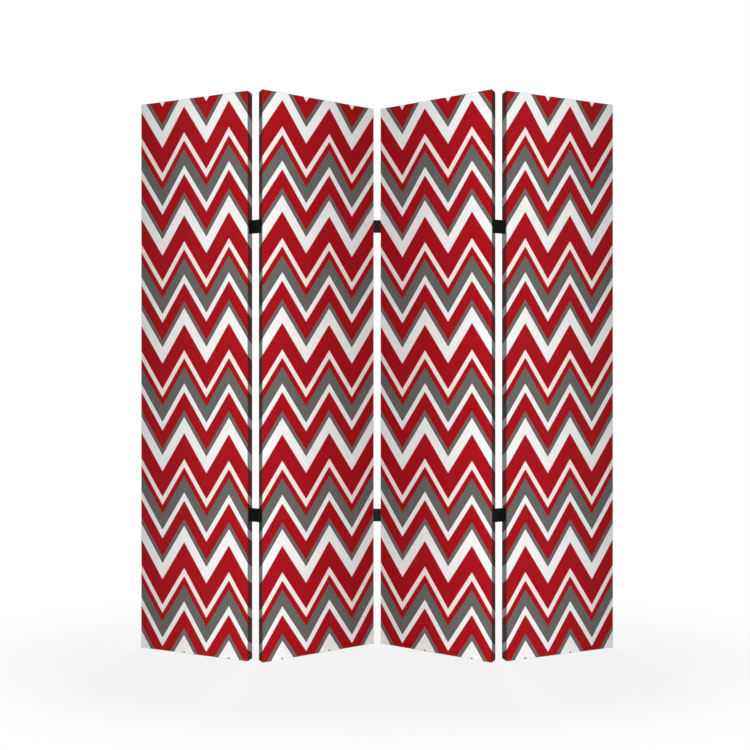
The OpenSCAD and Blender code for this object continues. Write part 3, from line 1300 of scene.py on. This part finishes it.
@dataclass
class StretchedCanvas:
    """The front canvas: over the front, round the four edges, and turned in on the back.

    Attributes:
        thickness: Thickness of the cloth.
        turn_in: Width of cloth turned on to the back.
        edge_radius: Rounding of its folds.
        rounding: Faces round each fold.
        cell: Size of the faces on the front.
        side_cell: Size of the faces across the edges.
        dish: How far the front gives between the frame's members.
        ripple: The cloth's slow unevenness.
        skin: Depth behind the front within which a point belongs to the front.
        pull: Depth of the creases that run out of the corners.
        pull_reach: How far those creases run.
        pull_count: How closely they fan out, as waves in one radian.
    """

    thickness: float = 0.8 * MM
    turn_in: float = 26 * MM
    edge_radius: float = 2.0 * MM
    rounding: int = 4
    cell: float = 10 * MM
    side_cell: float = 8 * MM
    dish: float = 1.1 * MM
    ripple: Waves = Waves(height=0.22 * MM, size=120 * MM, seed=7.3, drawn=0.7)
    skin: float = 0.1 * MM
    pull: float = 0.22 * MM
    pull_reach: float = 95 * MM
    pull_count: float = 11.0

    def blank(self, place: PanelPlace) -> bpy.types.Object:
        """Models the cloth's outer face once, in a panel's own frame.

        Args:
            place: A panel, for its sizes.

        Returns:
            The open shell, with its back cut away inside the turned-in edge.
        """
        size = Vector((place.width, place.depth, place.height))
        shell = add_block("canvas_blank", Vector(), size)
        with edit_mode(shell):
            select_only(shell, Element.FACE, looks_back)
            bpy.ops.mesh.inset(thickness=self.turn_in)
            bpy.ops.mesh.delete(type="FACE")
            select_only(shell, Element.EDGE, lambda edge: len(edge.link_faces) == 2 and is_sharp(edge))
            bpy.ops.mesh.bevel(offset=self.edge_radius, segments=self.rounding, affect="EDGES")
            divide(shell, Axis.UP, self.cell)
            divide(shell, Axis.ACROSS, self.cell)
            divide(shell, Axis.DEPTH, self.side_cell)
        return shell

    def sink(self, place: PanelPlace, point: Vector) -> float:
        """How far the front lies behind its flat plane at a point.

        Args:
            place: The panel.
            point: The point, in the panel's own frame.

        Returns:
            The distance, which is 0 over the frame's members.
        """
        over_opening = place.over_opening(point)
        near_x = min(point.x, place.width - point.x)
        near_z = min(point.z, place.height - point.z)
        reach = math.hypot(near_x, near_z) / self.pull_reach
        creases = 0.0
        if 0 < reach < 1:
            fan = math.atan2(near_z, near_x)
            spread = math.sin(self.pull_count * fan + place.number) * arch(2 * fan / math.pi, ROUND_ARCH)
            creases = self.pull * arch(reach, ROUND_ARCH) * spread
        return self.dish * over_opening + self.ripple.at(place, point) * over_opening + creases

    def build(self, place: PanelPlace, blank: bpy.types.Object) -> bpy.types.Object:
        """Makes one panel's canvas out of the blank.

        Args:
            place: The panel.
            blank: The shell that all panels share.

        Returns:
            The canvas, in its place.
        """
        canvas = copy_of(blank, f"panel_{place.number}_canvas")
        ClothMap(place).lay(canvas)
        for vertex in canvas.data.vertices:
            if vertex.co.y < self.skin:
                vertex.co.y += self.sink(place, vertex.co)
        # Slots for the printed and the raw side, without which the material offsets do nothing
        for _ in range(2):
            canvas.data.materials.append(None)
        apply_modifier(
            canvas,
            "SOLIDIFY",
            thickness=self.thickness,
            offset=-1,
            use_even_offset=True,
            material_offset=1,
            material_offset_rim=1,
        )
        smooth_by_angle(canvas, CLOTH_SMOOTHING)
        place.put(canvas)
        return canvas

    def flat_size(self, place: PanelPlace) -> tuple[float, float]:
        """Width and length that the cloth is cut to."""
        extra = 2 * (place.depth + self.turn_in)
        return place.width + extra, place.height + extra


@dataclass
class CornerTucks:
    """The folded flaps of cloth at a panel's two top corners, pressed flat on its top edge.

    Attributes:
        thickness: Thickness of the flap, whose two layers are pressed together.
        setback: Distance from the panel's faces to the flap.
        softness: Rounding of the flap's folds.
        cuts: Cuts across each of its faces.
        sunk: Share of its thickness that is pressed into the cloth under it.
        slant: Width of the flap at its front, as a share of its width at the back.
        taper: How much thinner its inner side is, as a share.
        puff: Height of its unevenness.
        puff_count: Waves of that unevenness in a metre.
    """

    thickness: float = 0.9 * MM
    setback: float = 2.0 * MM
    softness: float = 0.35 * MM
    cuts: int = 3
    sunk: float = 1 / 3
    slant: float = 0.12
    taper: float = 0.25
    puff: float = 0.12 * MM
    puff_count: float = 130.0

    def flap(self, place: PanelPlace, side: Edge) -> bpy.types.Object:
        """Models one flap, whose fold runs slantwise from the front corner to the back.

        Args:
            place: The panel.
            side: The upright edge that it comes from.

        Returns:
            The flap, in the panel's own frame.
        """
        reach = place.depth - 2 * self.setback
        low = Vector((self.setback, self.setback, place.height - self.sunk * self.thickness))
        flap = add_block("flap", low, low + Vector((reach, reach, self.thickness)))
        with edit_mode(flap):
            mesh = bmesh.from_edit_mesh(flap.data)
            for vertex in mesh.verts:
                inner = vertex.co.x > place.depth / 2
                if inner and vertex.co.z > place.height:
                    vertex.co.z -= self.taper * self.thickness
                if inner and vertex.co.y < place.depth / 2:
                    vertex.co.x = self.setback + self.slant * reach
            bmesh.update_edit_mesh(flap.data)
            select_only(flap, Element.EDGE, is_sharp)
            bpy.ops.mesh.bevel(offset=self.softness, segments=SMALL_ROUND, affect="EDGES")
            bpy.ops.mesh.select_all(action="SELECT")
            bpy.ops.mesh.subdivide(number_cuts=self.cuts)
        if side is Edge.RIGHT:
            with edit_mode(flap):
                bpy.ops.mesh.select_all(action="SELECT")
                bpy.ops.transform.mirror(
                    constraint_axis=(True, False, False), center_override=(place.width / 2, 0, 0)
                )
                bpy.ops.mesh.normals_make_consistent(inside=False)
        return flap

    def build(self, place: PanelPlace) -> bpy.types.Object:
        """Makes a panel's two flaps as one piece.

        Args:
            place: The panel.

        Returns:
            The piece, in its place.
        """
        flaps = [self.flap(place, side) for side in (Edge.LEFT, Edge.RIGHT)]
        tucks = join(flaps, f"panel_{place.number}_corner_tucks")
        for vertex in tucks.data.vertices:
            uneven = noise.noise(vertex.co * self.puff_count + Vector((place.number, 0, 0)))
            vertex.co.z += self.puff * uneven
        ClothMap(place).lay(tucks)
        smooth_by_angle(tucks, CLOTH_SMOOTHING)
        place.put(tucks)
        return tucks


@dataclass
class BackSheet:
    """The sheet that closes the back: one layer of cloth with a folded and sewn hem.

    Attributes:
        cloth: Thickness of its single layer.
        hem_width: Width of the folded hem.
        hem_rise: How far the hem stands over the single layer.
        softness: Rounding of the hem's folds.
        cell: Size of its faces.
        dish: How far it gives between the frame's members.
        ripple: Its slow unevenness.
        pucker: The small waves that the seam draws into the hem.
    """

    cloth: float = 0.4 * MM
    hem_width: float = 13 * MM
    hem_rise: float = 0.5 * MM
    softness: float = 0.18 * MM
    cell: float = 10 * MM
    dish: float = 0.9 * MM
    ripple: Waves = Waves(height=0.3 * MM, size=95 * MM, seed=4.1, drawn=0.8)
    pucker: Waves = Waves(height=0.12 * MM, size=26 * MM, seed=9.7)

    def blank(self, place: PanelPlace) -> bpy.types.Object:
        """Models the sheet once, flat, in a panel's own frame.

        Args:
            place: A panel, for its sizes.

        Returns:
            The sheet.
        """
        inset = place.back_inset
        low = Vector((inset, place.depth, inset))
        high = Vector((place.width - inset, place.depth + self.cloth, place.height - inset))
        sheet = add_block("sheet_blank", low, high)
        with edit_mode(sheet):
            select_only(sheet, Element.FACE, looks_back)
            bpy.ops.mesh.inset(thickness=self.hem_width)
            middle = (high + low) / 2
            select_only(
                sheet,
                Element.FACE,
                lambda face: looks_back(face)
                and (face.calc_center_median() - middle).xz.length > self.hem_width,
            )
            bpy.ops.mesh.extrude_region_move(TRANSFORM_OT_translate={"value": (0, self.hem_rise, 0)})
            hem_top = place.depth + self.cloth + self.hem_rise
            select_only(
                sheet,
                Element.EDGE,
                lambda edge: all(abs(corner.co.y - hem_top) < TOUCHING for corner in edge.verts)
                and is_sharp(edge),
            )
            bpy.ops.mesh.bevel(offset=self.softness, segments=SMALL_ROUND, affect="EDGES")
            divide(sheet, Axis.UP, self.cell)
            divide(sheet, Axis.ACROSS, self.cell)
        return sheet

    def lift(self, place: PanelPlace, point: Vector) -> float:
        """How far the sheet stands off its flat plane at a point, to the back if above 0.

        Args:
            place: The panel.
            point: The point, in the panel's own frame.

        Returns:
            The distance.
        """
        near = min(point.x, place.width - point.x, point.z, place.height - point.z) - place.back_inset
        # The waves are highest at the hem's inner edge, and end a hem's width inside it
        on_hem = arch(0.5 + 0.5 * (near - self.hem_width) / (2 * self.hem_width), ROUND_ARCH)
        sunk = (self.ripple.at(place, point) - self.dish) * place.over_opening(point)
        return sunk + self.pucker.at(place, point) * on_hem

    def build(self, place: PanelPlace, blank: bpy.types.Object) -> bpy.types.Object:
        """Makes one panel's back sheet out of the blank.

        Args:
            place: The panel.
            blank: The sheet that all panels share.

        Returns:
            The sheet, in its place.
        """
        sheet = copy_of(blank, f"panel_{place.number}_back_sheet")
        ClothMap(place).lay(sheet, flat=True)
        for vertex in sheet.data.vertices:
            lift = self.lift(place, vertex.co)
            vertex.co.y += lift if vertex.co.y > place.depth + TOUCHING else min(lift, 0.0)
        smooth_by_angle(sheet, CLOTH_SMOOTHING)
        place.put(sheet)
        return sheet

    def flat_size(self, place: PanelPlace) -> tuple[float, float]:
        """Width and length that the sheet is cut to, hem allowance included."""
        extra = 2 * (self.hem_width - place.back_inset)
        return place.width + extra, place.height + extra


@dataclass
class HemSeam:
    """The lockstitches that hold the back sheet's hem.

    Attributes:
        from_fold: Distance of the seam from the hem's folded edge.
        pitch: Distance from one stitch to the next.
        length: Length of one stitch that shows.
        thread: Diameter of the thread.
        sides: Faces round the thread.
        straight: Share of a stitch between its two ends.
        dive: How far its ends go into the cloth, in diameters of the thread.
        taper: Thickness of its ends, as a share.
        slant: Angle of a stitch to the seam, in degrees.
    """

    from_fold: float = 10 * MM
    pitch: float = 4.2 * MM
    length: float = 3.3 * MM
    thread: float = 0.55 * MM
    sides: int = 6
    straight: float = 0.5
    dive: float = 0.2
    taper: float = 0.5
    slant: float = 5.0

    def stitch(self) -> bpy.types.Object:
        """Models one stitch at the origin, lying along X on the plane Y = 0.

        Returns:
            A short thread, thick in its middle and sunk at its ends.
        """
        bpy.ops.mesh.primitive_cylinder_add(
            vertices=self.sides,
            radius=self.thread / 2,
            depth=self.straight * self.length,
            rotation=(0, math.pi / 2, 0),
        )
        stitch = bpy.context.active_object
        apply_transform(stitch)
        end = (1 - self.straight) / 2 * self.length
        with edit_mode(stitch):
            for way in (-1, 1):
                select_only(stitch, Element.FACE, lambda face, way=way: way * face.normal.x > FACING)
                bpy.ops.mesh.extrude_region_move(
                    TRANSFORM_OT_translate={"value": (way * end, -self.dive * self.thread, 0)}
                )
                bpy.ops.transform.resize(value=(1, self.taper, self.taper))
        return stitch

    def run(self, stitch: bpy.types.Object, start: Vector, axis: Axis, length: float) -> bpy.types.Object:
        """Lays a straight run of stitches.

        Args:
            stitch: The stitch that is repeated.
            start: The middle of the first stitch.
            axis: Direction of the run.
            length: Length of the run.

        Returns:
            The run.
        """
        run = copy_of(stitch, "seam_run")
        step = Vector()
        step[axis.value] = self.pitch
        turn = math.radians(self.slant) - (math.pi / 2 if axis is Axis.UP else 0.0)
        run.matrix_world = Matrix.Translation(start) @ Matrix.Rotation(turn, 4, "Y")
        apply_transform(run)
        apply_modifier(
            run,
            "ARRAY",
            count=int(length / self.pitch),
            use_relative_offset=False,
            use_constant_offset=True,
            constant_offset_displace=step,
        )
        return run

    def build(self, place: PanelPlace, sheet: BackSheet) -> bpy.types.Object:
        """Sews round one panel's back sheet.

        Args:
            place: The panel.
            sheet: The back sheet, for its hem.

        Returns:
            The seam, in its place.
        """
        inset = place.back_inset + self.from_fold
        surface = place.depth + sheet.cloth + sheet.hem_rise
        width, height = place.width - 2 * inset, place.height - 2 * inset
        stitch = self.stitch()
        first = self.pitch / 2
        runs = [
            self.run(stitch, Vector((inset + first, surface, z)), Axis.ACROSS, width)
            for z in (inset, place.height - inset)
        ]
        runs += [
            self.run(stitch, Vector((x, surface, inset + first)), Axis.UP, height)
            for x in (inset, place.width - inset)
        ]
        seam = join(runs, f"panel_{place.number}_hem_stitches")
        bpy.data.objects.remove(stitch)
        for vertex in seam.data.vertices:
            vertex.co.y += sheet.lift(place, vertex.co)
        smooth_by_angle(seam, THREAD_SMOOTHING)
        place.put(seam)
        return seam


@dataclass
class Panels:
    """The four covered frames.

    Attributes:
        nodes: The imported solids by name.
        places: Where each panel stands.
        canvas: The front canvas.
        tucks: The folded corners.
        back: The back sheet.
        seam: The stitches of its hem.
        finish: The canvas's finish.
        thread: The thread's finish.
        pine: The wood's finish.
    """

    nodes: dict[str, bpy.types.Object]
    places: list[PanelPlace]
    canvas: StretchedCanvas = field(default_factory=StretchedCanvas)
    tucks: CornerTucks = field(default_factory=CornerTucks)
    back: BackSheet = field(default_factory=BackSheet)
    seam: HemSeam = field(default_factory=HemSeam)
    finish: CanvasFinish = field(default_factory=CanvasFinish)
    thread: ThreadFinish = field(default_factory=ThreadFinish)
    pine: PineFinish = field(default_factory=PineFinish)

    def dress(
        self, piece: bpy.types.Object, place: PanelPlace, slot: str, *materials: bpy.types.Material
    ) -> None:
        """Finishes a new piece and lets it ride on its panel.

        Args:
            piece: The piece.
            place: The panel.
            slot: The record's material slot; not used.
            *materials: Its materials, the outer one first.
        """
        slots = piece.data.materials
        for index, material in enumerate(materials):
            if index == len(slots):
                slots.append(None)
            slots[index] = material
        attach(piece, place.body)
        LOG.info("%s: %d faces", piece.name, len(piece.data.polygons))

    def cover(self) -> None:
        printed, raw = self.finish.printed(), self.finish.unprinted()
        thread = self.thread.material()
        canvas_blank = self.canvas.blank(self.places[0])
        sheet_blank = self.back.blank(self.places[0])
        for place in self.places:
            canvas = self.canvas.build(place, canvas_blank)
            tucks = self.tucks.build(place)
            sheet = self.back.build(place, sheet_blank)
            seam = self.seam.build(place, self.back)
            self.dress(canvas, place, "printed_canvas", printed, raw)
            self.dress(tucks, place, "printed_canvas", printed)
            self.dress(sheet, place, "back_canvas", printed)
            self.dress(seam, place, "back_canvas", thread)
            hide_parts(f"panel_{place.number}_front_canvas")
            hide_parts(f"panel_{place.number}_back_canvas")
            self.canvas.flat_size(place)
            self.back.flat_size(place)
        bpy.data.objects.remove(canvas_blank)
        bpy.data.objects.remove(sheet_blank)

    def finish_wood(self) -> None:
        """Gives each frame member its grain, along its own length."""
        for place in self.places:
            upright = self.pine.material(f"pine_upright_{place.number}", place.heading, Axis.UP)
            level = self.pine.material(f"pine_level_{place.number}", place.heading, Axis.ACROSS)
            for part in (*RIM_PARTS, "cross_rails"):
                wood = upright if part.endswith("stile") else level
                set_material(self.nodes[f"panel_{place.number}_{part}"], wood)


def set_material(node: bpy.types.Object, material: bpy.types.Material) -> None:
    """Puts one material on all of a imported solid.

    Args:
        node: The solid.
        material: The material.
    """
    if not node.data.materials:
        node.data.materials.append(material)
    for index in range(len(node.data.materials)):
        node.data.materials[index] = material
    LOG.info("%s: %s", node.name, material.name)


@dataclass
class Hardware:
    """Hinges, screws and staples, which keep their solids.

    Attributes:
        nodes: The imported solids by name.
        weld: Distance within which a solid's loose corners are joined.
        chamfer: Width of the broken edges.
        sharp: Least angle at an edge that is broken, in degrees.
    """

    nodes: dict[str, bpy.types.Object]
    weld: float = 0.002 * MM
    chamfer: float = 0.2 * MM
    sharp: float = 40.0

    def finish(self) -> None:
        """Breaks the edges of the hinge leaves and links, and gives each kind of hardware its metal."""
        coat = HINGE_COAT.material()
        kinds = {
            "_leaf": coat,
            "_link": coat,
            "_pins": PIN_BLACK.material(),
            "_screws": SCREW_BLACK.material(),
            "_staples": STAPLE_ZINC.material(),
        }
        for name, node in self.nodes.items():
            for ending, material in kinds.items():
                if name.endswith(ending):
                    set_material(node, material)
                    if material is coat:
                        self.break_edges(node)

    def break_edges(self, node: bpy.types.Object) -> None:
        """Rounds the sharp edges of a solid a little.

        Args:
            node: The solid.
        """
        weld = node.modifiers.new("weld", "WELD")
        weld.merge_threshold = self.weld
        bevel = node.modifiers.new("broken_edges", "BEVEL")
        bevel.width = self.chamfer
        bevel.segments = SMALL_ROUND
        bevel.limit_method = "ANGLE"
        bevel.angle_limit = math.radians(self.sharp)


@dataclass(frozen=True)
class SoftLight:
    """A soft light panel of the studio.

    Attributes:
        name: Its name.
        place: The middle of the panel.
        aim: The point that it faces.
        size: Its width and height.
        power: Its power, in watts.
        spread: How wide its beam opens, in degrees.
    """

    name: str
    place: tuple[float, float, float]
    aim: tuple[float, float, float]
    size: tuple[float, float]
    power: float
    spread: float = 180.0

    def hang(self, side: int = 1) -> None:
        """Hangs the light.

        Args:
            side: 1 to hang it as it is written, and -1 for its mirror image about X = 0.
        """
        lamp = bpy.data.lights.new(self.name, "AREA")
        lamp.shape = "RECTANGLE"
        lamp.size, lamp.size_y = self.size
        lamp.energy = self.power
        lamp.spread = math.radians(self.spread)
        place, aim = (Vector((side * end[0], *end[1:])) for end in (self.place, self.aim))
        light = bpy.data.objects.new(self.name, lamp)
        light.location = place
        light.rotation_euler = (aim - place).to_track_quat("-Z", "Y").to_euler()
        light.visible_camera = False
        bpy.context.scene.collection.objects.link(light)


@dataclass
class Studio:
    """The camera, the soft lights, the pale floor and the white behind it.

    Attributes:
        lens: Focal length, for a sensor as wide as sensor.
        sensor: Width of the sensor, in millimetres.
        eye: Place of the camera, level and looking along +Y.
        shift: Shift of the lens, as a share of the picture's width.
        fill: Strength of the light from all round.
        front_light: The lights either side of the camera.
        side_light: The lights beside the screen.
        back_light: The light behind it.
        floor_size: Width of the floor.
        floor_tone: Lightness of the floor, in sRGB from 0 to 255.
        shadow_share: Share of the floor's own shading that the camera sees.
        shadow_reach: Distances at which that share starts to fade, and ends.
        shadow_scale: Factors on X, Y and Z of those distances.
    """

    lens: float = 40.63
    sensor: float = 36.0
    eye: tuple[float, float, float] = (0.0, -2.8104, 0.9061)
    shift: tuple[float, float] = (-0.00282, 0.0048)
    fill: float = 0.22
    front_light: SoftLight = SoftLight(
        "front_light",
        place=(0.12, -1.7, 0.9),
        aim=(0.46, 0.0, 0.9),
        size=(0.6, 3.6),
        power=9.45,
        spread=36,
    )
    side_light: SoftLight = SoftLight(
        "side_light", place=(3.0, 0.1, 1.3), aim=(0.8, 0.1, 0.9), size=(1.0, 2.2), power=7
    )
    back_light: SoftLight = SoftLight(
        "back_light", place=(0.0, 2.6, 1.3), aim=(0.0, 0.0, 0.9), size=(1.0, 2.2), power=70
    )
    floor_size: float = 24.0
    floor_tone: int = 235
    shadow_share: float = 0.15
    shadow_reach: tuple[float, float] = (0.8, 1.3)
    shadow_scale: tuple[float, float, float] = (0.8, 1.6, 1.0)

    def place_camera(self) -> None:
        """Makes the camera."""
        camera = bpy.data.objects.new("camera", bpy.data.cameras.new("camera"))
        bpy.context.scene.collection.objects.link(camera)
        camera.data.sensor_width = self.sensor
        camera.data.lens = self.lens
        camera.data.shift_x, camera.data.shift_y = self.shift
        camera.location = self.eye
        camera.rotation_euler = (math.pi / 2, 0, 0)
        bpy.context.scene.camera = camera

    def paint_world(self) -> None:
        """Makes the world: white where it is seen, and a plain fill light elsewhere."""
        world = bpy.data.worlds.new("studio")
        bpy.context.scene.world = world
        board = ShaderBoard(world)
        fill, white = board.add("Background"), board.add("Background")
        fill.inputs["Strength"].default_value = self.fill
        for background in (fill, white):
            background.inputs["Color"].default_value = (1, 1, 1, 1)
        light = board.result("MixShader", board.seen_directly(), fill.outputs[0], white.outputs[0])
        board.feed(board.add("OutputWorld").inputs[0], light)

    def lay_floor(self) -> None:
        """Makes the floor, near white to the camera with a soft shadow on it."""
        bpy.ops.mesh.primitive_plane_add(size=self.floor_size, location=(0, 0, 0))
        floor = bpy.context.active_object
        floor.name = "floor"
        # The front lights reach below the floor, so that the screen's foot is as bright as its top
        floor.visible_shadow = False
        board = ShaderBoard.of_material("floor")
        matt, glow = board.add("BsdfDiffuse"), board.add("Emission")
        matt.inputs["Color"].default_value = linear(self.floor_tone, self.floor_tone, self.floor_tone)
        distance = board.add("VectorMath", operation="LENGTH")
        board.feed(distance.inputs[0], board.stretched(board.object_place(), self.shadow_scale))
        shaded = board.remap(distance.outputs["Value"], *self.shadow_reach, self.shadow_share, 0.0)
        share = board.math("MULTIPLY", board.seen_directly(), board.math("SUBTRACT", 1.0, shaded))
        shown = board.result("MixShader", share, matt.outputs[0], glow.outputs[0])
        board.feed(board.add("OutputMaterial").inputs[0], shown)
        floor.data.materials.append(board.owner)

    def build(self) -> None:
        """Sets up the whole studio."""
        self.place_camera()
        self.paint_world()
        self.lay_floor()
        for side in (-1, 1):
            self.front_light.hang(side)
            self.side_light.hang(side)
        self.back_light.hang()
        bpy.context.scene.view_settings.view_transform = "Standard"
        LOG.info("studio ready")


def main(frame: dict) -> None:
    """Builds the screen's looks and its studio, in order.

    Args:
        frame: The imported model, as loaded.
    """
    logging.basicConfig(level=logging.INFO, format="%(name)s: %(message)s")
    Studio().build()
    nodes = frame["nodes"]
    panel_bodies = [body for body in frame["bodies"] if body.startswith("panel_")]
    numbers = sorted(int(body.removeprefix("panel_")) for body in panel_bodies)
    places = [PanelPlace.from_solids(number, nodes) for number in numbers]
    panels = Panels(nodes, places)
    panels.cover()
    panels.finish_wood()
    Hardware(nodes).finish()
    deselect_all()


if __name__ == "__main__":
    main(frame)
